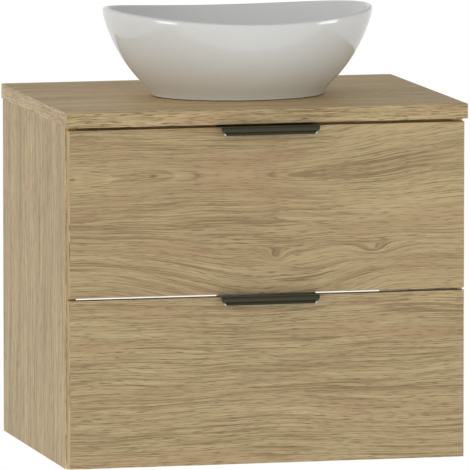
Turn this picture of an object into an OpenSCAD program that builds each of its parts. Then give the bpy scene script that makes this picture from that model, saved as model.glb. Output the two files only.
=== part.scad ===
// Wall-hung vanity with two drawers, an oak-faced countertop and an oval vessel basin.
// X runs across the width, +Y points at the wall and +Z is up. The origin lies on the
// wall plane, in the middle of the width, level with the underside of the cabinet.

/* [Countertop] */
// Width of the countertop
top_w = 600; // [580:1:640]
// Depth from the wall to the countertop's front edge
top_d = 446; // [440:1:470]
// Thickness of the countertop
top_t = 22; // [18:1:30]

/* [Cabinet] */
// Height of the carcass under the countertop
carcass_h = 500.5; // [490:0.5:520]
// Thickness of the carcass boards and of the fronts
board_t = 16; // [15:1:18]
// How far the carcass stands in from each end of the countertop
side_inset = 2; // [0:0.5:4]
// Thickness of the edge bands
band_t = 1; // [0.5:0.1:2]
// Height of the upright rails at the back
rail_h = 80; // [60:1:85]
// Depth of the flat rail behind the upper front
front_rail_d = 80; // [60:1:100]

/* [Fronts] */
// How far the fronts stand in from each end of the countertop
front_inset = 4; // [2:0.5:8]
// How far the fronts stand back from the countertop's front edge
front_recess = 4; // [2:0.5:8]
// Height of the lower front
lower_front_h = 246; // [243:0.5:247]
// How far the lower front's edge stands above the cabinet's underside
lower_front_z = 2; // [0:0.5:4]
// Air gap between the two fronts
front_gap = 3.5; // [3:0.5:5]
// Air gap between the upper front and the countertop
top_gap = 4.5; // [4:0.5:6]
// Air gap between the back of a front and the carcass
back_gap = 2.5; // [2.5:0.5:4]

/* [Handles] */
// Length of the edge pull
pull_len = 147; // [100:1:200]
// Length of the pull along the lower edge of its lip
pull_lip_len = 137; // [90:1:190]
// How far the pull stands out of the front
pull_out = 20; // [14:1:30]
// Height of the pull's lip
pull_drop = 13; // [10:1:20]
// Thickness of the pull's metal
pull_t = 1.8; // [1.2:0.1:2]

/* [Drawers] */
// Height of the drawer boxes
box_h = 130; // [110:1:140]
// Length of the drawer boxes
box_l = 400; // [350:1:405]
// Thickness of the box boards
box_t = 12; // [10:1:15]
// Thickness of the box bottoms
box_bottom_t = 6; // [4:1:8]
// Height of the lower box above the cabinet's underside
lower_box_z = 24; // [20:1:30]
// Height of the upper box above the cabinet's underside
upper_box_z = 262; // [255:1:270]
// Half-width of the recess that clears the trap
notch_half_w = 95; // [70:1:120]
// Length of the recess from the box's back end
notch_l = 274; // [270:1:300]
// Thickness of the guard around the recess
guard_t = 3; // [2:0.5:4]

/* [Runners] */
// Height of the three-part ball runners
runner_h = 45; // [42:1:46]
// Width that a runner takes between box and carcass
runner_w = 12.7; // [12.5:0.1:13]
// Length of each runner member
runner_l = 396; // [350:1:400]
// Thickness of the runner steel
runner_t = 1.2; // [1:0.1:1.5]

/* [Basin] */
// Height of the rim at the two ends
rim_end_h = 130.5; // [110:0.5:150]
// Height of the rim at the middle of the front and back
rim_mid_h = 117.5; // [100:0.5:130]
// Distance of the basin's centre from the wall
basin_d = 239; // [225:1:245]
// How far the basin and its drain stand to the right of the cabinet's middle
basin_x = 4; // [-10:1:10]
// Thickness of the glazed wall
wall_t = 8; // [6:0.5:10]
// Thickness of the sealing bead under the foot
bead_t = 1; // [0.4:0.1:2]

/* [Waste and trap] */
// Radius of the waste's threaded tube
waste_r = 20.7; // [18:0.1:21]
// Outer radius of the trap's pipes
pipe_r = 16; // [15:0.5:17]
// Height of the wall pipe's axis above the cabinet's underside
pipe_z = 388; // [380:1:390]
// How far the wall pipe reaches past the wall plane
pipe_past_wall = 30; // [20:1:50]
// Travel of the push-open plug
plug_travel = 8; // [6:1:10]

/* [Hidden] */
$fn = 64;

oak = "#b4a385";
oak_edge = "#b19c78";
melamine = "#e4e3df";
zinc = "#b9bcc0";
graphite = "#3c3a36";
white_plastic = "#eceae4";
chrome = "#d4d6d9";
rubber = "#26272a";
glaze = "#f1f0ec";

// A hair of room where two exact surfaces would otherwise meet, and the overrun of a cut
hair = 0.05;
cut = 1;

// Carcass
carcass_half_w = top_w / 2 - side_inset;
inner_half_w = carcass_half_w - board_t;
front_y = -(top_d - front_recess);
front_back_y = front_y + board_t;
carcass_front_y = front_back_y + back_gap;
board_front_y = carcass_front_y + band_t;
top_z = carcass_h + top_t;
rail_z = carcass_h - board_t;
back_rail_y = -100;
back_rail_z = carcass_h - rail_h;

// Fronts
front_half_w = top_w / 2 - front_inset;
upper_front_z = lower_front_z + lower_front_h + front_gap;
upper_front_h = carcass_h - top_gap - upper_front_z;

// Pulls
pull_flange_y = front_back_y + pull_t;
pull_tab_h = 20;
pull_bend_r = 4.5;
pull_screw_x = 50;
pull_screw_z = 11;
pull_end_y = 2;

// Drawer boxes
box_half_w = inner_half_w - runner_w;
box_back_y = front_back_y + box_l;
box_board_z = box_bottom_t;
box_board_h = box_h - box_bottom_t;
box_front_back_y = front_back_y + box_t;
notch_front_y = box_back_y - notch_l;
runner_mid_z = 66;
runner_front_y = carcass_front_y + 4;
front_screw_x = [-180, 180];
front_screw_z = [40, 100];

// Runner members: how far each web stands from the carcass, and its half-height
middle_web_x = 5;
middle_half_h = 19;
middle_flange_w = 7.6;
drawer_half_h = 14.5;
drawer_flange_w = 5;
cabinet_flange_w = 8;
runner_hole_y = [-390, -230, -60];

// Carcass joints: [y, z] on the inner face of a side. The cams of the flat boards stand
// upright: those of the bottom open upwards and those of the front rail downwards. The
// cams of the back rails lie along Y and open towards the front.
bottom_cam_sites = [[-60, board_t / 2], [-364, board_t / 2]];
front_rail_cam_sites = [[-383, rail_z + board_t / 2]];
back_rail_cam_sites = [
    [back_rail_y + board_t / 2, carcass_h - rail_h / 2],
    [-board_t / 2, board_t + rail_h / 2]
];
cam_sites = concat(bottom_cam_sites, front_rail_cam_sites, back_rail_cam_sites);
rail_dowel_step = 26;
dowel_sites = [
    [-92, board_t / 2],
    [-332, board_t / 2],
    [-355, rail_z + board_t / 2],
    [-410, rail_z + board_t / 2],
    for (step = [rail_dowel_step, -rail_dowel_step])
        [back_rail_y + board_t / 2, carcass_h - rail_h / 2 + step],
    for (step = [rail_dowel_step, -rail_dowel_step])
        [-board_t / 2, board_t + rail_h / 2 + step]
];
cam_r = 7.5;
cam_h = 12;
cam_in = 24;
cam_notch_in = 2;
bolt_r = 3;
bolt_in_side = 11;
dowel_r = 4;
dowel_half_l = 12;

// Screws: shank and pan head, and how deep each kind goes in
screw_r = 2;
head_r = 4;
head_h = 2;
counterbore_h = 3;
top_screw_in = 14;
rail_screw_in = 12;
front_screw_in = 11;
side_screw_in = 12;
runner_head_r = 3.6;
runner_head_h = 1.5;
pull_screw_r = 1.6;
pull_screw_head_r = 3;
pull_screw_head_h = 1.4;
pull_screw_l = 12;

// Hangers and wall plates
hanger_w = 18;
hanger_l = 56;
hanger_h = 60;
hanger_front_y = -74;
hanger_z = 432;
hook_z = 470;
hook_t = 2.5;
hook_w = 14;
hook_root_y = -50;
hook_drop = 12;
hook_wall_gap = 2.4;
hook_side = 2;
hook_slot_room = 4;
hook_slot_h = 12;
plate_t = 2.7;
plate_w = 44;
plate_low_z = 400;
plate_step_z = 450;
plate_out = 5.3;
plate_x = inner_half_w - 3 - plate_w / 2;
plate_hole_r = 3;
plate_hole_x = 250;
plate_hole_z = [410, 442];
hanger_screw_y = [-66, -26];
hanger_screw_z = 446;
bracket_w = 24;
bracket_leg = 30;
bracket_t = 2;
bracket_x = 200;
bracket_screw_in = 20;

// Basin: the long section's outer wall is an arc above a short upright foot
arc_centre_a = -7.5;
arc_centre_z = 171.5;
arc_r = 213.2;
foot_a = 126;
foot_lean = 0.3;
foot_blend = 8;
foot_in_a = 114;
foot_recess_h = 8;
foot_round = 3;
bead_inset = 2.5;
foot_ratio = 0.788;
rim_ratio = 0.81;
lip_r = wall_t / 2;
floor_h = 22;
floor_fall = 0.04;
floor_blend = 20;
seat_r = 34.5;
seat_h = 20;
basin_hole_r = 23;
round_until = 36;
oval_from = 105;
outer_steps = 13;
inner_steps = 11;
ring_steps = 60;
basin_z = top_z + bead_t;
basin_y = -basin_d;

// Waste
gasket_t = 1.5;
gasket_room = 0.2;
flange_r = 32;
flange_t = 2.5;
flange_edge = 1.5;
flange_cone_w = 5;
flange_z = basin_z + seat_h + gasket_t;
waste_bore_r = 17.5;
waste_low_z = carcass_h - 46;
top_hole_r = 25;
hub_r = 7;
hub_h = 14;
hub_z = flange_z - 34;
spoke_t = 2.5;
nut_h = 9;
nut_r = 30;

// Plug, drawn raised: it stands open at rest
stem_r = 4;
stem_room = 0.15;
cap_r = 31;
cap_t = 3;
cap_crown = 4;
cap_gap = 0.5;
cap_z = flange_z + flange_t + plug_travel + cap_gap;
stem_low_z = hub_z - 22;
plug_seal_r = 15;
plug_seal_cord_r = 1.5;
plug_seal_drop = 2;
plug_shelf_h = 1.5;

// Trap
trap_y = basin_y;
collar_t = 2;
inlet_nut_r = 26;
inlet_nut_h = 28;
inlet_nut_z = waste_low_z - 12;
nut_rib_r = 1.2;
nut_rib_in = 4;
pipe_room = 0.3;
trap_r = 30;
trap_head_low_z = 360;
trap_head_h = 44;
spigot_in = 21;
trap_wall = 2.5;
dip_low_z = 334;
cup_r = 33;
cup_h = 46;
cup_low_z = 322;
cup_round_r = 16;
outlet_r = 19;
outlet_l = 34;
outlet_nut_r = 25;
outlet_nut_l = 24;
outlet_nut_lip = 6;
pipe_start = 12;
rosette_r = 33;
rosette_t = 9;
rosette_edge_t = 1.5;
rosette_rim_w = 6;
rosette_rim_t = 5;
rosette_collar_w = 3;
rosette_room = 0.2;
pipe_wall = 1.2;
mark_w = 1;
mark_depth = 0.5;

// Larger of two values with a rounded change-over of width k
function smooth_max(p, q, k) = 0.5 * (p + q + sqrt((p - q) * (p - q) + k * k));

// Smooth step from 0 to 1 as v runs from low to high
function ease(v, low, high) =
    let (t = min(1, max(0, (v - low) / (high - low)))) t * t * (3 - 2 * t);

// Half-length of the basin's outer wall at height z of the long section
function outer_a(z) = smooth_max(
    arc_centre_a + sqrt(arc_r * arc_r - (z - arc_centre_z) * (z - arc_centre_z)),
    foot_a + foot_lean * z,
    foot_blend
);

// Height of the basin's inner surface at half-length a of the long section
function inner_z(a) =
    let (r = arc_r - wall_t)
    smooth_max(
        arc_centre_z - sqrt(r * r - (a - arc_centre_a) * (a - arc_centre_a)),
        floor_h + floor_fall * a,
        floor_blend
    );

// Width over length of the plan outline: round at the waste, oval further out
function plan_ratio(a, z) =
    let (oval = foot_ratio + (rim_ratio - foot_ratio) * z / rim_end_h)
    1 + (oval - 1) * ease(a, round_until, oval_from);

// Point of the basin at half-length a, long-section height z and angle t. The rim dips
// towards the middle of the front and back, and the dip dies away towards the foot.
function basin_point(a, z, t) =
    let (dip = (rim_end_h - rim_mid_h) * (1 - cos(2 * t)) / 2)
    [a * cos(t), a * plan_ratio(a, z) * sin(t), z - dip * pow(z / rim_end_h, 2)];

foot_out_a = outer_a(0);
lip_a = outer_a(rim_end_h - lip_r) - lip_r;
inner_top_a = lip_a - lip_r;
basin_profile = concat(
    [[foot_in_a + foot_round, 0], [foot_out_a - foot_round / 2, 0]],
    [[foot_out_a, foot_round * 0.4]],
    [for (i = [0:outer_steps])
        let (z = foot_round + (rim_end_h - lip_r - foot_round) * i / outer_steps) [outer_a(z), z]],
    [for (t = [30:30:150]) [lip_a + lip_r * cos(t), rim_end_h - lip_r + lip_r * sin(t)]],
    [for (i = [1:inner_steps])
        let (a = round_until + (inner_top_a - round_until) * cos(90 * i / inner_steps))
        [a, inner_z(a)]],
    [[seat_r, seat_h], [basin_hole_r, seat_h], [basin_hole_r, foot_recess_h]],
    [[foot_in_a - foot_round, foot_recess_h], [foot_in_a, foot_recess_h - foot_round]]
);

// Copies a left-hand piece to both sides of the cabinet
module both_sides() {
    children();
    mirror([1, 0, 0]) children();
}

// A board given by its low corner and its size
module board(low, size) {
    translate(low) cube(size);
}

// A cylinder along X that starts at point p
module x_rod(p, r, l) {
    translate(p) rotate([0, 90, 0]) cylinder(r = r, h = l);
}

// A cylinder along Y that starts at point p
module y_rod(p, r, l) {
    translate(p) rotate([-90, 0, 0]) cylinder(r = r, h = l);
}

// Every hole that the joints need, on the right-hand side, with room added all round
module joint_holes(room) {
    for (s = cam_sites)
        x_rod([inner_half_w - cam_in, s[0], s[1]], bolt_r + room, cam_in + bolt_in_side + room);
    cam_set(room, room + cut);
    for (s = dowel_sites) {
        x_rod([inner_half_w - dowel_half_l - room, s[0], s[1]], dowel_r + room,
            2 * (dowel_half_l + room));
    }
}

// The cams on the right-hand side, or their pockets when there is room, which run on out
// of the board by overrun
module cam_set(room, overrun) {
    for (s = bottom_cam_sites)
        translate([inner_half_w - cam_in, s[0], s[1] + board_t / 2 - cam_h - room])
            cylinder(r = cam_r + room, h = cam_h + overrun);
    for (s = front_rail_cam_sites)
        translate([inner_half_w - cam_in, s[0], s[1] - board_t / 2 - overrun + room])
            cylinder(r = cam_r + room, h = cam_h + overrun);
    for (s = back_rail_cam_sites)
        y_rod([inner_half_w - cam_in, s[0] - board_t / 2 - overrun + room, s[1]],
            cam_r + room, cam_h + overrun);
}

module side_panel() {
    difference() {
        board([inner_half_w, board_front_y, 0], [board_t, -board_front_y, carcass_h]);
        joint_holes(hair);
        runner_screw_set(hair);
        hanger_screw_set(hair);
    }
}

module side_panel_left() {
    color(oak) mirror([1, 0, 0]) side_panel();
}

module side_panel_right() {
    color(oak) side_panel();
}

// A board between the two sides, drilled at both ends
module cross_board(low_y, low_z, size_y, size_z) {
    difference() {
        board([-inner_half_w, low_y, low_z], [2 * inner_half_w, size_y, size_z]);
        both_sides() joint_holes(hair);
        countertop_screw_set(hair);
    }
}

module bottom_panel() {
    color(oak) cross_board(board_front_y, 0, -board_front_y, board_t);
}

module top_front_rail() {
    color(oak) cross_board(carcass_front_y, rail_z, front_rail_d, board_t);
}

module top_back_rail() {
    color(oak) cross_board(back_rail_y, back_rail_z, board_t, rail_h);
}

module lower_back_rail() {
    color(oak) cross_board(-board_t, board_t, board_t, rail_h);
}

module carcass_edge_bands() {
    color(oak_edge) {
        both_sides() board([inner_half_w, carcass_front_y, 0], [board_t, band_t, carcass_h]);
        board([-inner_half_w, carcass_front_y, 0], [2 * inner_half_w, band_t, board_t]);
    }
}

// The cams clasp the bolts, so each is notched for its bolt
module cams() {
    color(zinc) both_sides() difference() {
        cam_set(0, 0);
        for (s = cam_sites)
            x_rod([inner_half_w - cam_in - cam_notch_in, s[0], s[1]], bolt_r + hair, cam_in);
    }
}

module cam_bolts() {
    color(zinc) both_sides() for (s = cam_sites) {
        x_rod([inner_half_w - cam_in, s[0], s[1]], bolt_r, cam_in + bolt_in_side);
    }
}

module dowels() {
    color("#c9a873") both_sides() for (s = dowel_sites) {
        x_rod([inner_half_w - dowel_half_l, s[0], s[1]], dowel_r, 2 * dowel_half_l);
    }
}

module countertop() {
    color(oak) difference() {
        board([band_t - top_w / 2, band_t - top_d, carcass_h],
            [top_w - 2 * band_t, top_d - band_t, top_t]);
        translate([basin_x, basin_y, carcass_h - cut]) cylinder(r = top_hole_r, h = top_t + 2 * cut);
        countertop_screw_set(hair);
    }
}

module countertop_edge_bands() {
    color(oak_edge) {
        board([-top_w / 2, -top_d, carcass_h], [top_w, band_t, top_t]);
        both_sides() board([top_w / 2 - band_t, band_t - top_d, carcass_h],
            [band_t, top_d - band_t, top_t]);
    }
}

// Steel angles that tie the countertop to the upright back rail
module countertop_brackets() {
    low_y = back_rail_y + board_t;
    color(zinc) both_sides() difference() {
        union() {
            board([bracket_x, low_y, carcass_h - bracket_t], [bracket_w, bracket_leg, bracket_t]);
            board([bracket_x, low_y, carcass_h - bracket_leg], [bracket_w, bracket_t, bracket_leg]);
        }
        countertop_screw_set(hair);
    }
}

// Screws into the countertop: two up through the front rail, four in the angles
module countertop_screw_set(room) {
    mid_x = bracket_x + bracket_w / 2;
    rail_back_y = back_rail_y + board_t;
    low_z = carcass_h - bracket_screw_in;
    overrun = room > 0 ? cut : 0;
    both_sides() {
        translate([bracket_x, carcass_front_y + front_rail_d / 2, rail_z]) {
            cylinder(r = screw_r + room, h = board_t + top_screw_in + room);
            translate([0, 0, -overrun])
                cylinder(r = head_r + room, h = counterbore_h + overrun);
        }
        translate([mid_x, rail_back_y + bracket_screw_in, carcass_h - bracket_t - head_h]) {
            cylinder(r = screw_r + room, h = bracket_t + top_screw_in + room);
            cylinder(r = head_r, h = head_h);
        }
        y_rod([mid_x, rail_back_y - rail_screw_in - room, low_z], screw_r + room,
            rail_screw_in + bracket_t + room);
        y_rod([mid_x, rail_back_y + bracket_t, low_z], head_r, head_h);
    }
}

module countertop_screws() {
    color(zinc) countertop_screw_set(0);
}

// Plastic housings in the top back corners, which carry the steel hooks
module hanger_bodies() {
    low_x = inner_half_w - hanger_w;
    color(white_plastic) both_sides() difference() {
        board([low_x, hanger_front_y, hanger_z], [hanger_w, hanger_l, hanger_h]);
        board([low_x + hook_side, hook_root_y - hook_slot_room, hook_z - hook_slot_room],
            [hook_w, hanger_l, hook_slot_h]);
        hanger_screw_set(hair);
    }
}

// Steel hook: a flat tongue whose tip drops behind the wall plate
module hanger_hooks() {
    tip_y = -hook_wall_gap;
    color(zinc) both_sides()
        translate([inner_half_w - hanger_w + hook_side + hair, 0, 0]) rotate([90, 0, 90])
            linear_extrude(hook_w - 2 * hair) polygon([
                [hook_root_y, hook_z],
                [tip_y - hook_t, hook_z],
                [tip_y - hook_t, hook_z - hook_drop],
                [tip_y, hook_z - hook_drop],
                [tip_y, hook_z + hook_t],
                [hook_root_y, hook_z + hook_t]
            ]);
}

module hanger_screw_set(room) {
    for (y = hanger_screw_y) {
        x_rod([inner_half_w - hanger_w, y, hanger_screw_z], screw_r + room,
            hanger_w + side_screw_in + room);
    }
}

module hanger_screws() {
    color(zinc) both_sides() hanger_screw_set(0);
}

// Steel plates screwed to the wall, each with a forward step that the hook drops behind
module wall_plates() {
    color(zinc) both_sides() difference() {
        translate([plate_x - plate_w / 2, 0, 0]) rotate([90, 0, 90])
            linear_extrude(plate_w) polygon([
                [0, plate_low_z],
                [0, plate_step_z],
                [-plate_out, plate_step_z + plate_out],
                [-plate_out, hook_z],
                [-plate_out - plate_t, hook_z],
                [-plate_out - plate_t, plate_step_z + plate_out - 1],
                [-plate_t, plate_step_z - 1],
                [-plate_t, plate_low_z]
            ]);
        for (z = plate_hole_z) {
            y_rod([plate_hole_x, -plate_t - cut, z], plate_hole_r, plate_t + 2 * cut);
        }
    }
}

// Closed skin: the profile carried round the oval, two triangles to each patch
module basin() {
    rows = len(basin_profile);
    spots = [
        for (p = basin_profile)
            for (j = [0:ring_steps - 1]) basin_point(p[0], p[1], 360 * j / ring_steps)
    ];
    skin = [
        for (i = [0:rows - 1])
            for (j = [0:ring_steps - 1])
                let (
                    a = i * ring_steps + j,
                    b = i * ring_steps + (j + 1) % ring_steps,
                    c = ((i + 1) % rows) * ring_steps + (j + 1) % ring_steps,
                    d = ((i + 1) % rows) * ring_steps + j
                )
                each [[a, c, b], [a, d, c]]
    ];
    color(glaze) translate([basin_x, basin_y, basin_z]) polyhedron(spots, skin);
}

// Oval bead of sealant under the foot, just inside its outer edge
module basin_bead() {
    bead_out = foot_out_a - bead_inset;
    bead_in = foot_in_a + 2 * bead_inset;
    color("#4a4640") translate([basin_x, basin_y, top_z]) linear_extrude(bead_t) difference() {
        scale([1, foot_ratio]) circle(r = bead_out);
        scale([1, foot_ratio]) circle(r = bead_in);
    }
}

// Flanged waste with a thread below and a spoked hub that guides the plug
module waste_body() {
    color(chrome) translate([basin_x, basin_y, 0]) {
        rotate_extrude() polygon([
            [waste_bore_r, waste_low_z],
            [waste_r, waste_low_z],
            [waste_r, flange_z],
            [flange_r, flange_z],
            [flange_r, flange_z + flange_t / 2],
            [flange_r - flange_edge, flange_z + flange_t],
            [waste_bore_r + flange_cone_w, flange_z + flange_t],
            [waste_bore_r, flange_z - flange_edge]
        ]);
        difference() {
            union() {
                translate([0, 0, hub_z - hub_h]) cylinder(r = hub_r, h = hub_h);
                for (t = [0, 60, 120]) rotate(t)
                    translate([-waste_bore_r - 1, -spoke_t / 2, hub_z - hub_h])
                        cube([2 * waste_bore_r + 2, spoke_t, hub_h / 2]);
            }
            translate([0, 0, hub_z - hub_h - cut])
                cylinder(r = stem_r + stem_room, h = hub_h + 2 * cut);
        }
    }
}

// A flat ring on the waste's axis
module waste_ring(low_z, h, outer, inner) {
    translate([basin_x, basin_y, low_z]) difference() {
        cylinder(r = outer, h = h);
        translate([0, 0, -cut]) cylinder(r = inner, h = h + 2 * cut);
    }
}

module waste_upper_gasket() {
    color(rubber) waste_ring(basin_z + seat_h, gasket_t, flange_r - 1, waste_r + gasket_room);
}

module waste_lower_gasket() {
    color(rubber) waste_ring(carcass_h - gasket_t * 2, gasket_t * 2, nut_r + 3, waste_r + gasket_room);
}

module waste_nut() {
    low_z = carcass_h - gasket_t * 2 - nut_h;
    color("#c8a45c") translate([basin_x, basin_y, low_z]) difference() {
        cylinder(r = nut_r, h = nut_h, $fn = 6);
        translate([0, 0, -cut]) cylinder(r = waste_r + hair, h = nut_h + 2 * cut);
    }
}

// Domed cap, drawn raised above its seat
module plug_cap() {
    dome_r = (cap_r * cap_r + cap_crown * cap_crown) / (2 * cap_crown);
    color(chrome) translate([basin_x, basin_y, cap_z]) rotate_extrude($fn = 96) {
        square([cap_r, cap_t]);
        intersection() {
            translate([0, cap_t + cap_crown - dome_r]) circle(r = dome_r, $fn = 360);
            translate([0, cap_t]) square([cap_r, cap_crown + cut]);
        }
    }
}

// Stem with a hub under the cap, and a shelf that keeps the seal on the hub
module plug_stem() {
    shelf_z = cap_z - 4 * plug_seal_cord_r;
    neck_r = plug_seal_r - 2 * plug_seal_cord_r - 2 * stem_room;
    color(chrome) translate([basin_x, basin_y, 0]) {
        translate([0, 0, stem_low_z]) cylinder(r = stem_r, h = cap_z - stem_low_z);
        translate([0, 0, shelf_z]) cylinder(r = neck_r, h = cap_z - shelf_z);
        translate([0, 0, shelf_z - plug_shelf_h]) cylinder(r = plug_seal_r - 1, h = plug_shelf_h);
    }
}

module plug_seal() {
    color(rubber) translate([basin_x, basin_y, cap_z - plug_seal_cord_r - plug_seal_drop])
        rotate_extrude() translate([plug_seal_r - plug_seal_cord_r, 0])
            circle(r = plug_seal_cord_r, $fn = 24);
}

// Union nut between the waste and the trap's inlet pipe
module trap_inlet_nut() {
    shelf_z = waste_low_z - collar_t;
    color(chrome) translate([basin_x, trap_y, 0]) difference() {
        union() {
            translate([0, 0, inlet_nut_z]) cylinder(r = inlet_nut_r, h = inlet_nut_h);
            for (t = [0:20:340]) rotate(t)
                translate([inlet_nut_r, 0, inlet_nut_z + nut_rib_in])
                    cylinder(r = nut_rib_r, h = inlet_nut_h - 2 * nut_rib_in, $fn = 16);
        }
        translate([0, 0, inlet_nut_z - cut]) cylinder(r = pipe_r + pipe_room, h = inlet_nut_h);
        translate([0, 0, shelf_z]) cylinder(r = waste_r + hair, h = inlet_nut_h);
    }
}

// Head of the bottle trap: inlet pipe with its collar, dip pipe and threaded outlet
module trap_body() {
    head_top = trap_head_low_z + trap_head_h;
    bore_r = pipe_r - trap_wall;
    color(chrome) translate([basin_x, trap_y, 0]) difference() {
        union() {
            rotate_extrude() polygon([
                [bore_r, dip_low_z],
                [pipe_r, dip_low_z],
                [pipe_r, head_top - trap_wall],
                [trap_r - trap_wall, head_top - trap_wall],
                [trap_r - trap_wall, trap_head_low_z],
                [trap_r, trap_head_low_z],
                [trap_r, head_top],
                [pipe_r, head_top],
                [pipe_r, waste_low_z - collar_t],
                [waste_r - pipe_room, waste_low_z - collar_t],
                [waste_r - pipe_room, waste_low_z],
                [bore_r, waste_low_z]
            ]);
            y_rod([0, spigot_in, pipe_z], outlet_r, trap_r + outlet_l - spigot_in);
        }
        y_rod([0, spigot_in - 2, pipe_z], pipe_r + pipe_room, trap_r + outlet_l);
    }
}

// Screw-off cup, with a rounded foot and a collar that clasps the head
module trap_cup() {
    in_r = cup_r - trap_wall;
    color(chrome) translate([basin_x, trap_y, cup_low_z]) difference() {
        rotate_extrude() {
            translate([0, cup_round_r]) square([cup_r, cup_h - cup_round_r]);
            square([cup_r - cup_round_r, cup_round_r]);
            intersection() {
                translate([cup_r - cup_round_r, cup_round_r]) circle(r = cup_round_r);
                square([cup_r, cup_round_r]);
            }
        }
        translate([0, 0, trap_wall]) rotate_extrude() {
            translate([0, cup_round_r]) square([in_r, cup_h]);
            square([in_r - cup_round_r, cup_round_r + hair]);
            intersection() {
                translate([in_r - cup_round_r, cup_round_r]) circle(r = cup_round_r);
                square([in_r, cup_round_r + hair]);
            }
        }
    }
}

module trap_cup_seal() {
    color(rubber) waste_ring(trap_head_low_z - 2, 2, trap_r, trap_r - trap_wall);
}

module trap_outlet_nut() {
    low_y = trap_y + trap_r + outlet_l - outlet_nut_l + outlet_nut_lip;
    color(chrome) difference() {
        y_rod([basin_x, low_y, pipe_z], outlet_nut_r, outlet_nut_l);
        y_rod([basin_x, low_y - cut, pipe_z], outlet_r + hair, outlet_nut_l - outlet_nut_lip + cut);
        y_rod([basin_x, low_y, pipe_z], pipe_r + hair, outlet_nut_l + cut);
    }
}

// Pipe from the trap into the wall, with a shallow groove that marks how far it goes in
module wall_pipe() {
    low_y = trap_y + trap_r + pipe_start;
    long = pipe_past_wall - low_y;
    color(chrome) difference() {
        y_rod([basin_x, low_y, pipe_z], pipe_r, long);
        y_rod([basin_x, low_y - cut, pipe_z], pipe_r - pipe_wall, long + 2 * cut);
        difference() {
            y_rod([basin_x, -mark_w, pipe_z], pipe_r + cut, mark_w);
            y_rod([basin_x, -mark_w - cut, pipe_z], pipe_r - mark_depth, mark_w + 2 * cut);
        }
    }
}

module wall_rosette() {
    color(chrome) translate([basin_x, 0, pipe_z]) rotate([90, 0, 0]) rotate_extrude() polygon([
        [pipe_r + rosette_room, 0],
        [rosette_r, 0],
        [rosette_r, rosette_edge_t],
        [rosette_r - rosette_rim_w, rosette_rim_t],
        [pipe_r + rosette_collar_w, rosette_t],
        [pipe_r + rosette_room, rosette_t]
    ]);
}

// Section of the fixed runner member: a channel that opens towards the drawer.
// u is the distance from the carcass, v the height from the runner's middle.
module cabinet_member_section() {
    half_h = runner_h / 2;
    translate([0, -half_h]) square([runner_t, runner_h]);
    for (v = [-half_h, half_h - runner_t]) translate([0, v]) square([cabinet_flange_w, runner_t]);
}

module middle_member_section() {
    translate([middle_web_x, -middle_half_h]) square([runner_t, 2 * middle_half_h]);
    for (v = [-middle_half_h, middle_half_h - runner_t])
        translate([middle_web_x + runner_t / 2 - middle_flange_w / 2, v])
            square([middle_flange_w, runner_t]);
}

module drawer_member_section() {
    translate([runner_w - runner_t, -drawer_half_h]) square([runner_t, 2 * drawer_half_h]);
    for (v = [-drawer_half_h, drawer_half_h - runner_t])
        translate([runner_w - drawer_flange_w, v]) square([drawer_flange_w, runner_t]);
}

// Carries a runner section along the drawer's travel, on both sides of the cabinet
module runner_pair(box_z) {
    both_sides() translate([inner_half_w, runner_front_y, box_z + runner_mid_z])
        rotate([-90, 0, 0]) mirror([1, 0, 0]) mirror([0, 1, 0]) linear_extrude(runner_l) children();
}

// Screws that hold the fixed members to the right-hand side
module runner_screw_set(room) {
    for (z = [lower_box_z, upper_box_z]) for (y = runner_hole_y) {
        low_x = inner_half_w - runner_t - runner_head_h;
        x_rod([low_x, y, z + runner_mid_z], screw_r + room, side_screw_in + room);
        x_rod([low_x, y, z + runner_mid_z], runner_head_r, runner_head_h);
    }
}

module cabinet_members(box_z) {
    color(zinc) difference() {
        runner_pair(box_z) cabinet_member_section();
        both_sides() runner_screw_set(hair);
    }
}

module upper_cabinet_members() {
    cabinet_members(upper_box_z);
}

module lower_cabinet_members() {
    cabinet_members(lower_box_z);
}

module runner_screws() {
    color(zinc) both_sides() runner_screw_set(0);
}

module upper_middle_members() {
    color(zinc) runner_pair(upper_box_z) middle_member_section();
}

module lower_middle_members() {
    color(zinc) runner_pair(lower_box_z) middle_member_section();
}

module upper_drawer_members() {
    color(zinc) runner_pair(upper_box_z) drawer_member_section();
}

module lower_drawer_members() {
    color(zinc) runner_pair(lower_box_z) drawer_member_section();
}

// Board of a front, without its bands, with blind holes for the screws from behind
module front_core(front_z, front_h, box_z) {
    color(oak) difference() {
        board([band_t - front_half_w, front_y, front_z + band_t],
            [2 * (front_half_w - band_t), board_t, front_h - 2 * band_t]);
        front_screw_set(box_z, hair);
        pull_screw_set(front_z + front_h, hair);
    }
}

module front_bands(front_z, front_h) {
    color(oak_edge) {
        both_sides() board([front_half_w - band_t, front_y, front_z], [band_t, board_t, front_h]);
        for (z = [front_z, front_z + front_h - band_t])
            board([band_t - front_half_w, front_y, z],
                [2 * (front_half_w - band_t), board_t, band_t]);
    }
}

module upper_front() {
    front_core(upper_front_z, upper_front_h, upper_box_z);
}

module upper_front_bands() {
    front_bands(upper_front_z, upper_front_h);
}

module lower_front() {
    front_core(lower_front_z, lower_front_h, lower_box_z);
}

module lower_front_bands() {
    front_bands(lower_front_z, lower_front_h);
}

// Screws from inside the box into the front
module front_screw_set(box_z, room) {
    for (x = front_screw_x) for (z = front_screw_z) {
        y_rod([x, front_back_y - front_screw_in - room, box_z + z], screw_r + room,
            front_screw_in + box_t + room);
        y_rod([x, box_front_back_y, box_z + z], head_r, head_h);
    }
}

module upper_front_screws() {
    color(zinc) front_screw_set(upper_box_z, 0);
}

module lower_front_screws() {
    color(zinc) front_screw_set(lower_box_z, 0);
}

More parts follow.
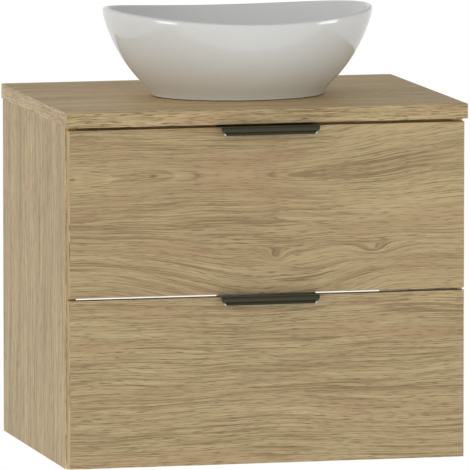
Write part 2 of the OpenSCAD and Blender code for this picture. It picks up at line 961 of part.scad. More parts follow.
// Section of the edge pull from back to front, its lower face resting on the front's top
// edge: a tab behind the front, a flange over its edge, a rounded bend and a lip.
function pull_section(top) = concat(
    [[pull_flange_y, top], [pull_flange_y, top - pull_tab_h], [front_back_y, top - pull_tab_h]],
    [[front_back_y, top - pull_t]],
    [for (t = [90:15:180]) [
        front_y - pull_out + pull_bend_r + (pull_bend_r - pull_t) * cos(t),
        top - pull_bend_r + (pull_bend_r - pull_t) * sin(t)
    ]],
    [[front_y - pull_out + pull_t, top - pull_drop], [front_y - pull_out, top - pull_drop]],
    [for (t = [180:-15:90]) [
        front_y - pull_out + pull_bend_r + pull_bend_r * cos(t),
        top - pull_bend_r + pull_bend_r * sin(t)
    ]]
);

// What is cut off the right-hand end of the lip, so that the lip narrows towards its lower edge
module lip_end_cut(top) {
    translate([0, front_y - pull_end_y, 0]) rotate([90, 0, 0])
        linear_extrude(pull_out) polygon([
            [pull_len / 2, top - pull_bend_r],
            [pull_lip_len / 2, top - pull_drop],
            [pull_lip_len / 2, top - pull_drop - cut],
            [pull_len / 2 + cut, top - pull_drop - cut],
            [pull_len / 2 + cut, top - pull_bend_r]
        ]);
}

// The pull on a front whose top edge is at edge_z
module pull(edge_z) {
    top = edge_z + pull_t;
    color(graphite) difference() {
        translate([-pull_len / 2, 0, 0]) rotate([90, 0, 90])
            linear_extrude(pull_len) polygon(pull_section(top));
        both_sides() lip_end_cut(top);
        pull_screw_set(edge_z, hair);
    }
}

// Countersunk screws through the pull's tab into the back of the front
module pull_screw_set(edge_z, room) {
    for (x = [-pull_screw_x, pull_screw_x])
        translate([x, pull_flange_y, edge_z - pull_screw_z]) rotate([90, 0, 0]) {
            cylinder(r = pull_screw_r + room, h = pull_screw_l + room);
            translate([0, 0, -room]) cylinder(
                r1 = pull_screw_head_r + room, r2 = pull_screw_r + room,
                h = pull_screw_head_h + room
            );
        }
}

module upper_handle() {
    pull(upper_front_z + upper_front_h);
}

module lower_handle() {
    pull(lower_front_z + lower_front_h);
}

module upper_handle_screws() {
    color(graphite) pull_screw_set(upper_front_z + upper_front_h, 0);
}

module lower_handle_screws() {
    color(graphite) pull_screw_set(lower_front_z + lower_front_h, 0);
}

module box_sides(box_z) {
    color(melamine) both_sides()
        board([box_half_w - box_t, front_back_y, box_z + box_board_z], [box_t, box_l, box_board_h]);
}

module box_front(box_z) {
    color(melamine) difference() {
        board([box_t - box_half_w, front_back_y, box_z + box_board_z],
            [2 * (box_half_w - box_t), box_t, box_board_h]);
        front_screw_set(box_z, hair);
    }
}

module upper_box_sides() {
    box_sides(upper_box_z);
}

module upper_box_front() {
    box_front(upper_box_z);
}

// Two short boards that close the box's back beside the recess
module upper_box_backs() {
    color(melamine) both_sides()
        board([notch_half_w, box_back_y - box_t, upper_box_z + box_board_z],
            [box_half_w - box_t - notch_half_w, box_t, box_board_h]);
}

module upper_box_bottom() {
    color(melamine) difference() {
        board([-box_half_w, front_back_y, upper_box_z], [2 * box_half_w, box_l, box_bottom_t]);
        board([-notch_half_w, notch_front_y, upper_box_z - cut],
            [2 * notch_half_w, notch_l + cut, box_bottom_t + 2 * cut]);
    }
}

// U-shaped wall that closes the upper drawer round the trap
module upper_trap_guard() {
    color(white_plastic) difference() {
        board([-notch_half_w, notch_front_y, upper_box_z + box_board_z],
            [2 * notch_half_w, notch_l, box_board_h]);
        board([guard_t - notch_half_w, notch_front_y + guard_t, upper_box_z + box_board_z - cut],
            [2 * (notch_half_w - guard_t), notch_l, box_board_h + 2 * cut]);
    }
}

module lower_box_sides() {
    box_sides(lower_box_z);
}

module lower_box_front() {
    box_front(lower_box_z);
}

module lower_box_back() {
    color(melamine) board([box_t - box_half_w, box_back_y - box_t, lower_box_z + box_board_z],
        [2 * (box_half_w - box_t), box_t, box_board_h]);
}

module lower_box_bottom() {
    color(melamine)
        board([-box_half_w, front_back_y, lower_box_z], [2 * box_half_w, box_l, box_bottom_t]);
}

side_panel_left();
side_panel_right();
bottom_panel();
carcass_edge_bands();
top_front_rail();
top_back_rail();
lower_back_rail();
cams();
cam_bolts();
dowels();
countertop();
countertop_edge_bands();
countertop_brackets();
countertop_screws();
hanger_bodies();
hanger_hooks();
hanger_screws();
wall_plates();
basin();
basin_bead();
waste_body();
waste_upper_gasket();
waste_lower_gasket();
waste_nut();
trap_inlet_nut();
trap_body();
trap_cup();
trap_cup_seal();
trap_outlet_nut();
wall_pipe();
wall_rosette();
upper_cabinet_members();
lower_cabinet_members();
runner_screws();
plug_cap();
plug_stem();
plug_seal();
upper_middle_members();
lower_middle_members();
upper_front();
upper_front_bands();
upper_handle();
upper_handle_screws();
upper_box_sides();
upper_box_front();
upper_box_backs();
upper_box_bottom();
upper_trap_guard();
upper_drawer_members();
upper_front_screws();
lower_front();
lower_front_bands();
lower_handle();
lower_handle_screws();
lower_box_sides();
lower_box_front();
lower_box_back();
lower_box_bottom();
lower_drawer_members();
lower_front_screws();
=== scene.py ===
"""Surfaces, finishes and studio of a wall-hung oak vanity with an oval vessel basin."""
import math

import bmesh
import bpy
import numpy as np
from bpy.props import FloatProperty, FloatVectorProperty, PointerProperty
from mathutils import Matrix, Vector


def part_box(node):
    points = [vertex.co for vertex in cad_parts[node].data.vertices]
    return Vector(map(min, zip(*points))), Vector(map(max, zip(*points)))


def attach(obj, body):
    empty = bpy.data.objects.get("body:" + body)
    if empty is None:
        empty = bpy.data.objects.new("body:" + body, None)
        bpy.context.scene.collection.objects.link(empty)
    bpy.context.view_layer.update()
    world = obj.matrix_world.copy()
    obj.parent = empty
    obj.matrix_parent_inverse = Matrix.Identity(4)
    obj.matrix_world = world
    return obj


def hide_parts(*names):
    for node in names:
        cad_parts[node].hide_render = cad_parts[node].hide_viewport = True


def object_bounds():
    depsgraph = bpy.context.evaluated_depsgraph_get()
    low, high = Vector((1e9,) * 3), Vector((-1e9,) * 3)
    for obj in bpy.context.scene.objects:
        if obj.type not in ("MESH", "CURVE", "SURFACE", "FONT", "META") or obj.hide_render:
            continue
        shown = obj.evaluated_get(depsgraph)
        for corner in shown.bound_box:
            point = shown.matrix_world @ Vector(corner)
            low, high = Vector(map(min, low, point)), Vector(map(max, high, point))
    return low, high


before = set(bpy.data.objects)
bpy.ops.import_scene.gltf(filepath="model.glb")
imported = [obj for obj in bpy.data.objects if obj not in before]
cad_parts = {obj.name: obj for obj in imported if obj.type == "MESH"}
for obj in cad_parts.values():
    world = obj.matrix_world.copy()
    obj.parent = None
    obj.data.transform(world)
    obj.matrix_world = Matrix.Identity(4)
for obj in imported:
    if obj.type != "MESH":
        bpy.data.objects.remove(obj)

bl_info = {
    "name": "Vessel basin vanity",
    "version": (1, 0, 0),
    "blender": (4, 5, 0),
    "location": "View3D > Sidebar > Vanity",
    "description": "Builds the visible surfaces, finishes and studio of a vanity with a vessel basin",
    "category": "Object",
}

MM = 0.001
BAND_ROUND = 0.95 * MM  # round of the edge bands' corners
BOX_ROUND = 0.8 * MM  # round of the drawer boxes' edges
CAD_LOW, CAD_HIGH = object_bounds()


def colour(text):
    """Linear RGBA of an sRGB hex colour."""
    parts = np.array([int(text[i : i + 2], 16) for i in (1, 3, 5)]) / 255
    linear = np.where(parts <= 0.04045, parts / 12.92, ((parts + 0.055) / 1.055) ** 2.4)
    return (*linear.tolist(), 1.0)


def tint(text, name, description):
    """A colour property that starts from an sRGB hex colour."""
    return FloatVectorProperty(
        name=name, description=description, subtype="COLOR", size=4, min=0, max=1, default=colour(text)
    )


def length(value, name, description):
    """A length property that starts from a value in millimetres."""
    return FloatProperty(
        name=name, description=description, subtype="DISTANCE", unit="LENGTH", min=0, default=value * MM
    )


class OakSettings(bpy.types.PropertyGroup):
    """Colours of the oak-print laminate and the sizes of its figure."""

    light: tint("#c3ab7d", "Early wood", "Lightest colour of the oak")
    middle: tint("#b39a6e", "Body", "Middle colour of the oak")
    dark: tint("#947951", "Late wood", "Colour of the growth lines")
    pore: tint("#6d5638", "Pores", "Colour at the bottom of the pores")
    blush: tint("#b29069", "Blush", "Pinker colour that drifts through the board")
    pore_length: length(19, "Pore length", "Length of one open pore")
    pore_width: length(1.0, "Pore width", "Width of one open pore")
    ring_width: length(4.5, "Growth line", "Spacing of the growth lines")
    late_width: length(10, "Late wood", "Spacing of the dark late-wood lines")
    band_width: length(42, "Colour band", "Width of the broad colour bands")


class CeramicSettings(bpy.types.PropertyGroup):
    """Glazed sanitary ware."""

    glaze: tint("#e8e9e6", "Glaze", "Colour of the white glaze")
    roughness: FloatProperty(name="Roughness", description="Roughness of the glaze", min=0, max=1, default=0.07)


class MetalSettings(bpy.types.PropertyGroup):
    """Finishes of the pulls, the runners and the waste."""

    graphite: tint("#282410", "Graphite", "Lacquered pulls")
    # Paler lacquer that paints a sheen above the pulls' groove
    painted_sheen: tint("#383929", "Graphite with painted sheen", "Pulls above their groove")
    # Also paints the glints on the pulls' lower corners: a painted highlight
    cut_edge_and_glint: tint("#b9bcb9", "Cut edge and glint", "Bright-cut edge of the pulls")
    zinc: tint("#a9adb1", "Zinc", "Galvanised runners and fittings")
    chrome: tint("#d3d6da", "Chrome", "Plated waste and trap")


class StudioSettings(bpy.types.PropertyGroup):
    """Light around the vanity."""

    left: FloatProperty(name="Left", description="Strength of the light from the left", min=0, default=0.9)
    right: FloatProperty(name="Right", description="Strength of the light from the right", min=0, default=0.27)
    front: FloatProperty(name="Front", description="Strength of the light from the front", min=0, default=1.0)
    back: FloatProperty(name="Back", description="Strength of the light from the back", min=0, default=0.9)
    above: FloatProperty(name="Above", description="Strength of the light from above", min=0, default=0.26)
    below: FloatProperty(name="Below", description="Strength of the light off the floor", min=0, default=0.9)
    glint: FloatProperty(name="Glint", description="Power of each rim light", subtype="POWER", min=0, default=28)
    floor_drop: length(300, "Floor drop", "Depth of the floor below the cabinet")


# ---------------------------------------------------------------- materials


def add(tree, kind, inputs=None, **settings):
    """Adds a node, sets its properties, and links or sets each of its inputs."""
    node = tree.nodes.new(kind)
    for key, value in settings.items():
        setattr(node, key, value)
    for key, value in (inputs or {}).items():
        if isinstance(value, bpy.types.NodeSocket):
            tree.links.new(value, node.inputs[key])
        else:
            node.inputs[key].default_value = value
    return node


def maths(tree, operation, *values):
    """The result of a Math node on numbers or sockets."""
    return add(tree, "ShaderNodeMath", dict(enumerate(values)), operation=operation).outputs[0]


def material(name, **inputs):
    """A new Principled material with the given constant inputs, and its tree and shader."""
    made = bpy.data.materials.new(name)
    made.use_nodes = True
    shader = made.node_tree.nodes["Principled BSDF"]
    for key, value in inputs.items():
        shader.inputs[key.replace("_", " ")].default_value = value
    return made, made.node_tree, shader


def stretched(tree, source, along, across, shift=0.0, detail=2.0, roughness=0.55):
    """Noise whose features are along by across metres, from 0 to 1."""
    place = add(
        tree,
        "ShaderNodeMapping",
        {"Vector": source, "Location": (shift, shift * 1.7, shift), "Scale": (1 / along, 1 / across, 1)},
    )
    noise = add(
        tree,
        "ShaderNodeTexNoise",
        {"Vector": place.outputs["Vector"], "Scale": 1.0, "Detail": detail, "Roughness": roughness},
    )
    return noise.outputs["Fac"]


def oak(name, figure, pores, sheen, shift, gain):
    """Oak-print laminate: stretched noise at the size of pores, growth lines and colour bands.

    The maps "rings" and "pores" give metres along and across the grain. A brushed melamine
    face is matt, and its pores are pressed in, so they are both darker and lower. figure and
    pores set the contrast of the growth lines and of the fine lines, and gain the colour.
    """
    look = bpy.context.scene.oak_look
    made, tree, shader = material(name, Roughness=sheen, IOR=1.5)
    rings = add(tree, "ShaderNodeUVMap", uv_map="rings").outputs["UV"]
    lines = add(tree, "ShaderNodeUVMap", uv_map="pores").outputs["UV"]

    bands = stretched(tree, rings, 0.55, look.band_width, shift + 3.1, 2.0, 0.5)
    growth = stretched(tree, rings, 0.20, look.ring_width, shift + 7.3, 2.0, 0.5)
    fine = stretched(tree, lines, look.pore_length * 6, look.pore_width * 0.95, shift + 1.9, 1.0, 0.5)
    pore = stretched(tree, lines, look.pore_length, look.pore_width, shift + 5.7, 1.0, 0.5)
    drift = stretched(tree, rings, 0.22, 0.035, shift + 11.0, 1.0, 0.5)
    patch = stretched(tree, rings, 0.16, 0.030, shift + 15.0, 1.0, 0.5)

    # Late wood: each growth ring darkens slowly and ends sharply, more clearly in patches
    across = add(tree, "ShaderNodeSeparateXYZ", {0: rings}).outputs["Y"]
    turn = maths(tree, "MULTIPLY_ADD", bands, 5.0, maths(tree, "MULTIPLY", across, 1 / look.late_width))
    late = maths(tree, "FRACT", maths(tree, "MULTIPLY_ADD", growth, 1.2, turn))
    clear = add(tree, "ShaderNodeMapRange", {"Value": patch, "From Min": 0.40, "From Max": 0.62, "To Min": 0.15})
    late = maths(tree, "MULTIPLY", maths(tree, "POWER", late, 3.0), clear.outputs["Result"])
    total = maths(tree, "MULTIPLY_ADD", bands, 0.9 * figure, 0.60 - 0.9 * figure - 1.0 * pores)
    total = maths(tree, "MULTIPLY_ADD", growth, 0.9 * figure, total)
    total = maths(tree, "MULTIPLY_ADD", fine, 2.0 * pores, total)
    total = maths(tree, "MULTIPLY_ADD", late, -0.55 * figure, total)
    ramp = add(tree, "ShaderNodeValToRGB", {"Fac": total})
    stops = ramp.color_ramp.elements
    stops[0].position, stops[0].color = 0.12, look.dark
    stops[1].position, stops[1].color = 0.95, look.light
    middle = stops.new(0.5)
    middle.color = look.middle
    blush = add(
        tree, "ShaderNodeMapRange", {"Value": drift, "From Min": 0.5, "From Max": 0.72, "To Max": 0.65}
    ).outputs["Result"]
    body = add(
        tree, "ShaderNodeMix", {"Factor": blush, "A": ramp.outputs["Color"], "B": look.blush}, data_type="RGBA"
    )
    body = body.outputs["Result"]
    dents = add(
        tree,
        "ShaderNodeMapRange",
        {"Value": pore, "From Min": 0.45, "From Max": 0.29, "To Min": 0.0, "To Max": 0.55 * pores},
    ).outputs["Result"]
    painted = add(
        tree, "ShaderNodeMix", {"Factor": dents, "A": body, "B": look.pore}, data_type="RGBA"
    ).outputs["Result"]
    tree.links.new(
        add(tree, "ShaderNodeVectorMath", {0: painted, 1: gain}, operation="MULTIPLY").outputs["Vector"],
        shader.inputs["Base Color"],
    )
    depth = maths(tree, "MULTIPLY", dents, -1.0)
    bump = add(tree, "ShaderNodeBump", {"Height": depth, "Strength": 0.5, "Distance": 0.12 * MM})
    tree.links.new(bump.outputs["Normal"], shader.inputs["Normal"])
    return made


def speckled(name, base, other, size, share=0.5, bump=0.0, **inputs):
    """A finish whose colour wanders between two values at one size, with a fine bump."""
    made, tree, shader = material(name, **inputs)
    place = add(tree, "ShaderNodeTexCoord").outputs["Object"]
    noise = add(
        tree, "ShaderNodeTexNoise", {"Vector": place, "Scale": 1 / size, "Detail": 3.0, "Roughness": 0.6}
    ).outputs["Fac"]
    mask = add(
        tree, "ShaderNodeMapRange", {"Value": noise, "From Min": 0.35, "From Max": 0.65, "To Max": share}
    ).outputs["Result"]
    mixed = add(tree, "ShaderNodeMix", {"Factor": mask, "A": base, "B": other}, data_type="RGBA")
    tree.links.new(mixed.outputs["Result"], shader.inputs["Base Color"])
    if bump:
        lift = add(tree, "ShaderNodeBump", {"Height": noise, "Strength": 0.3, "Distance": bump})
        tree.links.new(lift.outputs["Normal"], shader.inputs["Normal"])
    return made


def shade(base, factor):
    """A colour made darker or lighter by a factor."""
    return (*[min(1.0, part * factor) for part in base[:3]], 1.0)


def finishes():
    """Every material, by the name that the pieces ask for.

    The oak prints are one laminate. Their contrast and tone are set apart by face, to suit
    the light that each face gets in this studio.
    """
    metal = bpy.context.scene.metal_look
    ceramic = bpy.context.scene.ceramic_look
    made = {
        "front": oak("Oak laminate, cross grain", 1.05, 1.05, 0.5, 0.0, (1.09, 1.13, 1.15)),
        "lower": oak("Oak laminate, cross grain, lower board", 1.2, 1.35, 0.5, 90.0, (1.11, 1.16, 1.19)),
        "side": oak("Oak laminate, upright grain", 1.5, 1.8, 0.5, 20.0, (1.15, 1.18, 1.15)),
        "top": oak("Oak laminate, countertop", 0.9, 1.1, 0.62, 40.0, (1.32, 1.35, 1.36)),
        "edge": oak("Oak edge band", 1.1, 1.9, 0.5, 60.0, (1.19, 1.23, 1.24)),
        # Set much paler than the fronts' bands, because they sit in the shadow of the fronts
        "band": oak("Oak edge band, carcass", 1.1, 1.9, 0.5, 60.0, (1.85, 1.95, 2.05)),
        # Particle board: pressed chips of pale and brown wood, seen on the raw edges
        "chips": speckled(
            "Raw particle board", colour("#b99f74"), colour("#7d6444"), 2.5 * MM, 0.9, 0.4 * MM, Roughness=0.9
        ),
        # White melamine: matt, with a faint pearl texture
        "melamine": speckled(
            "White melamine", colour("#e2e1dc"), colour("#dad9d4"), 1.5 * MM, 1.0, 0.05 * MM, Roughness=0.45
        ),
        # Vitreous china: white glaze over clay, with long slow waves from the firing
        "glaze": speckled(
            "Glazed vitreous china", ceramic.glaze, shade(ceramic.glaze, 0.985), 60 * MM, 1.0, 0.12 * MM,
            Roughness=ceramic.roughness, IOR=1.52,
        ),
        # Lacquered aluminium: nearly black with a warm cast, and satin
        "graphite": speckled(
            "Graphite lacquered aluminium", metal.graphite, shade(metal.graphite, 0.85), 0.8 * MM, 1.0, 0.0,
            Roughness=0.24, IOR=1.45, Specular_Tint=(1.0, 0.9, 0.55, 1.0),
        ),
        # The same lacquer a little paler and greyer, on the upper part of the lip and the top of the pull: a
        # painted sheen, standing in for the reflection of the bright surround
        "painted_sheen": speckled(
            "Graphite lacquer, painted sheen", metal.painted_sheen, shade(metal.painted_sheen, 0.85), 0.8 * MM, 1.0, 0.0,
            Roughness=0.3, IOR=1.45, Specular_Tint=(1.0, 0.95, 0.8, 1.0),
        ),
        # Aluminium bared by the saw; on the pulls' two lower corners the same colour is a painted glint
        "cut": speckled(
            "Bright-cut aluminium edge and painted glint", metal.cut_edge_and_glint, shade(metal.cut_edge_and_glint, 0.9), 2 * MM, 1.0, 0.0,
            Roughness=0.22, Metallic=1.0,
        ),
        # Hot-dip zinc: blotches a few millimetres wide, some duller
        "zinc": speckled(
            "Galvanised steel", metal.zinc, shade(metal.zinc, 0.72), 4 * MM, 1.0, 0.02 * MM,
            Roughness=0.38, Metallic=1.0,
        ),
        # Plated brass: near mirror
        "chrome": speckled(
            "Chrome plate", metal.chrome, shade(metal.chrome, 0.97), 20 * MM, 1.0, 0.0,
            Roughness=0.07, Metallic=1.0,
        ),
        # Bare brass with a light tarnish
        "brass": speckled(
            "Pressed brass", colour("#c8a45c"), colour("#b08d4a"), 3 * MM, 1.0, 0.02 * MM,
            Roughness=0.3, Metallic=1.0,
        ),
        # Moulded plastic with a fine spark-eroded grain
        "plastic": speckled(
            "Moulded white polypropylene", colour("#e6e4dd"), colour("#dddbd3"), 1.0 * MM, 1.0, 0.03 * MM,
            Roughness=0.42,
        ),
        # Matt moulded rubber
        "rubber": speckled(
            "Black nitrile rubber", colour("#26272a"), colour("#303134"), 0.8 * MM, 1.0, 0.02 * MM, Roughness=0.7
        ),
        # Clear sealant bead, a real part; its dark colour is painted shade, the shadowed joint behind the bead
        "sealant": speckled(
            "Clear silicone sealant", colour("#4a4640"), colour("#5a554d"), 3 * MM, 1.0, 0.02 * MM, Roughness=0.3
        ),
        # Short flecks of beech, fluted and unvarnished
        "beech": speckled(
            "Turned beech", colour("#c9a873"), colour("#b08f5c"), 1.2 * MM, 1.0, 0.05 * MM, Roughness=0.6
        ),
    }
    return made


# ---------------------------------------------------------------- surfaces


def make(name, patches, finish, body, replaced):
    """Welds grid patches into one closed mesh that rides on a body.

    A patch is (points, rings, pores, finish number): a rows x columns grid of points, its two
    maps in metres and one number for all cells or for each. Neighbouring patches share the
    points of their common edge. A loop that is still open, such as the sawn end of a profile,
    gets one flat face in the last finish.
    """
    points, quads, rings, pores, numbers = [], [], [], [], []
    count = 0
    for grid, ring_map, pore_map, number in patches:
        rows, columns = grid.shape[:2]
        index = count + np.arange(rows * columns).reshape(rows, columns)
        cells = np.stack([index[:-1, :-1], index[1:, :-1], index[1:, 1:], index[:-1, 1:]], -1).reshape(-1, 4)
        points.append(grid.reshape(-1, 3))
        rings.append(ring_map.reshape(-1, 2))
        pores.append(pore_map.reshape(-1, 2))
        quads.append(cells)
        numbers.append(np.broadcast_to(number, (rows - 1, columns - 1)).ravel())
        count += rows * columns
    points, quads = np.concatenate(points), np.concatenate(quads)
    mesh = bpy.data.meshes.new(name)
    mesh.from_pydata(points.tolist(), [], quads.tolist())
    for map_name, values in (("rings", rings), ("pores", pores)):
        layer = mesh.uv_layers.new(name=map_name)
        layer.data.foreach_set("uv", np.concatenate(values)[quads.ravel()].astype(np.float32).ravel())
    mesh.polygons.foreach_set("material_index", np.concatenate(numbers).astype(np.int32))
    mesh.polygons.foreach_set("use_smooth", np.ones(len(quads), bool))
    for choice in finish:
        mesh.materials.append(FINISH[choice])
    work = bmesh.new()
    work.from_mesh(mesh)
    bmesh.ops.remove_doubles(work, verts=work.verts, dist=1e-6)
    for face in bmesh.ops.holes_fill(work, edges=work.edges, sides=0)["faces"]:
        face.material_index = len(finish) - 1
    bmesh.ops.recalc_face_normals(work, faces=work.faces)
    work.to_mesh(mesh)
    work.free()
    mesh.set_sharp_from_angle(angle=math.radians(35))
    piece = bpy.data.objects.new(name, mesh)
    bpy.context.scene.collection.objects.link(piece)
    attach(piece, body)
    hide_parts(*replaced)
    return piece


def still(u, v):
    """Straight grain: both maps are the plain distances along and across it."""
    return v, v


def stations(low, high, radius, cell):
    """Grid lines along one edge: each round at 0, 15, 30 and 45 degrees, then even steps."""
    turn = radius * (1 - np.tan(np.radians([45.0, 30.0, 15.0, 0.0])))
    guard = min(0.4 * MM, (high - low - 2 * radius) / 4)
    steps = max(1, math.ceil((high - low - 2 * radius) / cell))
    inner = np.linspace(low + radius + guard, high - radius - guard, steps + 1)
    return np.unique(np.round(np.concatenate([low + turn, inner, high - turn]), 8))


def board(low, high, grain, radius=0.5 * MM, cell=0.1, figure=still, faces=None, shift=0.0):
    """Six patches of a board with rounded edges.

    A point p of the plain box moves to q + radius * (p - q) / |p - q|, where q is the nearest
    point of the box shrunk by the radius. The maps run along the grain axis and across it,
    and figure bends them. faces gives a finish number by face, such as {"+Y": 1}.
    """
    low, high = np.array(low, float), np.array(high, float)
    centre = (low + high) / 2
    lines = [stations(low[i], high[i], radius, cell) for i in range(3)]
    patches = []
    for axis in range(3):
        for sign, end in (("-", low), ("+", high)):
            a, b = [i for i in range(3) if i != axis]
            grid = np.empty((len(lines[a]), len(lines[b]), 3))
            grid[..., axis] = end[axis]
            grid[..., a], grid[..., b] = np.meshgrid(lines[a], lines[b], indexing="ij")
            core = np.clip(grid, low + radius, high - radius)
            out = grid - core
            grid = core + radius * out / np.linalg.norm(out, axis=-1, keepdims=True)
            along = grain if grain != axis else a
            across = ({0, 1, 2} - {axis, along}).pop()
            u = grid[..., along] - centre[along]
            v = grid[..., across] - centre[across]
            ring, pore = figure(u, v)
            extra = shift + (0.61 if sign == "+" else 0.0) + 0.37 * axis
            face = sign + "XYZ"[axis]
            patches.append(
                (
                    grid,
                    np.stack([u + extra, ring + extra], -1),
                    np.stack([u + extra, pore + extra], -1),
                    (faces or {}).get(face, 0),
                )
            )
    return patches


def filleted(corners, radii, step=15.0):
    """An outline with rounded corners: each corner gives an arc that touches both its sides."""
    corners = np.array(corners, float)
    made = []
    for i, (corner, radius) in enumerate(zip(corners, radii)):
        before = corners[i - 1] - corner
        after = corners[(i + 1) % len(corners)] - corner
        before, after = before / np.linalg.norm(before), after / np.linalg.norm(after)
        half = math.acos(np.clip(before @ after, -1, 1)) / 2
        if radius == 0 or half > math.pi / 2 - 1e-3:
            made.append(corner[None])
            continue
        middle = (before + after) / np.linalg.norm(before + after)
        centre = corner + middle * radius / math.sin(half)
        first = corner + before * radius / math.tan(half) - centre
        last = corner + after * radius / math.tan(half) - centre
        turn = math.pi - 2 * half
        count = max(2, math.ceil(math.degrees(turn) / step) + 1)
        t = np.linspace(0, 1, count)[:, None]
        arc = (np.sin((1 - t) * turn) * first + np.sin(t * turn) * last) / math.sin(turn)
        made.append(centre + arc)
    return np.concatenate(made)


def lathe(outline, centre, count=96):
    """One patch: an outline of (radius, height) carried round the upright line through centre.

    An outline that starts and ends on the axis is whole; any other is closed on itself.
    """
    if outline[0, 0] or outline[-1, 0]:
        outline = np.concatenate([outline, outline[:1]])
    turn = np.linspace(0, 2 * math.pi, count + 1)
    radius, height = outline[:, 0, None], outline[:, 1, None]
    grid = np.empty((len(outline), count + 1, 3))
    grid[..., 0] = centre[0] + radius * np.cos(turn)
    grid[..., 1] = centre[1] + radius * np.sin(turn)
    grid[..., 2] = centre[2] + height
    span = np.concatenate([[0], np.cumsum(np.linalg.norm(np.diff(outline, axis=0), axis=1))])
    maps = np.stack(np.meshgrid(span, turn * 0.03, indexing="ij"), -1)
    return [(grid, maps, maps, 0)]


# ---------------------------------------------------------------- boards of the cabinet


def two_boards(node, **settings):
    """Patches of a mirrored pair of boards, from the box that holds them both."""
    low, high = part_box(node)
    width = settings.pop("width")
    left = board(low, (low.x + width, high.y, high.z), **settings)
    settings["shift"] = settings.get("shift", 0.0) + 1.3
    return left + board((high.x - width, low.y, low.z), high, **settings)


def soft_waves(u, v):
    """Gentle grain: the lines rise and fall by a few millimetres over half a metre."""
    bend = 2.5 * MM * np.sin(u / 0.083 + v / 0.09) + 0.8 * MM * np.sin(u / 0.033 + v / 0.05 + 1.0)
    return v + bend, v + bend


def bell(u, v, at_u, at_v, long, wide):
    """A rounded hill of height 1 about a point."""
    return np.exp(-(((u - at_u) / long) ** 2) - ((v - at_v) / wide) ** 2)


def ease(value, low, high):
    """Smooth step from 0 to 1 as the value runs from low to high."""
    t = np.clip((value - low) / (high - low), 0, 1)
    return t * t * (3 - 2 * t)


def arched(u, v):
    """Figure of the upper front, with u and v from its middle.

    Grain lines are level lines of the result. They rise to the right in the top right, fall
    to the right in the bottom left, and bend round two small knots. Nested arches come from
    the distance sqrt(w^2 + h^2), where w is the distance from the arches' axis and h grows
    along them.
    """
    rise = 0.034 * ease(u, 0.02, 0.36) * ease(v, -0.03, 0.13)
    fall = -0.050 * ease(u, -0.27, 0.0) * (1 - ease(v, -0.17, 0.02))
    back = 0.034 * ease(u, 0.03, 0.24) * (1 - ease(v, -0.16, 0.0))
    ripple = 0.7 * MM * np.sin(u / 0.021 + v / 0.017) + 1.6 * MM * np.sin(u / 0.071 + v / 0.04 + 2.0)
    w = v - (rise + fall + back + ripple)
    w = w + 0.009 * bell(u, v, 0.012, -0.069, 0.015, 0.010) + 0.010 * bell(u, v, 0.160, -0.064, 0.034, 0.010)
    axis = 0.052
    h = 0.030 * (1 - np.exp(-np.clip(u + 0.30, 0, None) * 0.19 / 0.030))
    h = h * (1 - 0.75 * ease(u, -0.06, 0.10))
    ring = axis + np.sqrt((w - axis) ** 2 + h**2)
    pore = axis + np.sqrt((w - axis) ** 2 + (0.35 * h) ** 2)
    return ring, pore


def drifting(u, v):
    """Figure of the lower front: calm lines with a few long dips."""
    bend = (
        2.4 * MM * np.sin(u / 0.085 + v / 0.05)
        + 0.8 * MM * np.sin(u / 0.026 - v / 0.021 + 0.7)
        + 0.008 * bell(u, v, -0.12, 0.0, 0.11, 0.040)
        - 0.006 * bell(u, v, 0.02, -0.04, 0.12, 0.035)
    )
    return v + bend, v + bend


def wavy(u, v):
    """Figure of the narrow edges: short steep waves along the band."""
    bend = 0.8 * MM * np.sin(u / 0.031) + 0.3 * MM * np.sin(u / 0.013 + 1.0) + 1.5 * MM * np.sin(u / 0.12)
    return v + bend, v + bend


def edge_ring(core_high, out_low, out_high, axis, radius, gone=None):
    """Patches of the bands round a board whose thickness runs along an axis.

    The section of a band is a flat strip with both outer corners rounded, and it is carried
    round the outline with square mitres. The grain is wavy along the long sides only. gone
    names a side that has no band.
    """
    a, b = [i for i in range(3) if i != axis]
    out_low, out_high = np.array(out_low, float), np.array(out_high, float)
    low, high = out_low[axis], out_high[axis]
    turn = np.radians(np.arange(0, 91, 15.0))
    inward = np.concatenate([radius * (1 - np.sin(turn)), radius * (1 - np.sin(turn[::-1]))])
    height = np.concatenate([low + radius * (1 - np.cos(turn)), high - radius * (1 - np.cos(turn[::-1]))])
    thick = out_high[a] - core_high[a]
    inward = np.concatenate([[thick], inward, [thick], [thick]])
    height = np.concatenate([[low], height, [high], [low]])
    corners = [
        (out_low[a], out_low[b], 1, 1),
        (out_high[a], out_low[b], -1, 1),
        (out_high[a], out_high[b], -1, -1),
        (out_low[a], out_high[b], 1, -1),
    ]
    sides = ["-b", "+a", "+b", "-a"]
    patches = []
    for i, side in enumerate(sides):
        if side == gone:
            continue
        start, end = corners[i], corners[(i + 1) % 4]
        steps = 1 + max(1, math.ceil((abs(start[0] - end[0]) + abs(start[1] - end[1])) / 0.004))
        t = np.linspace(0, 1, steps)[None, :]
        ends = []
        for corner, beside in ((start, sides[i - 1]), (end, sides[(i + 1) % 4])):
            shrink = inward[:, None]
            place = [corner[0] + corner[2] * shrink, corner[1] + corner[3] * shrink]
            if beside == gone:
                plain = 0 if side[1] == "b" else 1
                place[plain] = np.full_like(shrink, corner[plain])
            ends.append(place)
        grid = np.empty((len(inward), steps, 3))
        grid[..., a] = ends[0][0] * (1 - t) + ends[1][0] * t
        grid[..., b] = ends[0][1] * (1 - t) + ends[1][1] * t
        grid[..., axis] = height[:, None]
        along = a if side[1] == "b" else b
        u = grid[..., along]
        v = grid[..., axis] + grid[..., b if along == a else a]
        ring, pore = wavy(u, v) if side[1] == "b" else still(u, v)
        patches.append((grid, np.stack([u + i, ring], -1), np.stack([u + i, pore], -1), 0))
    return patches


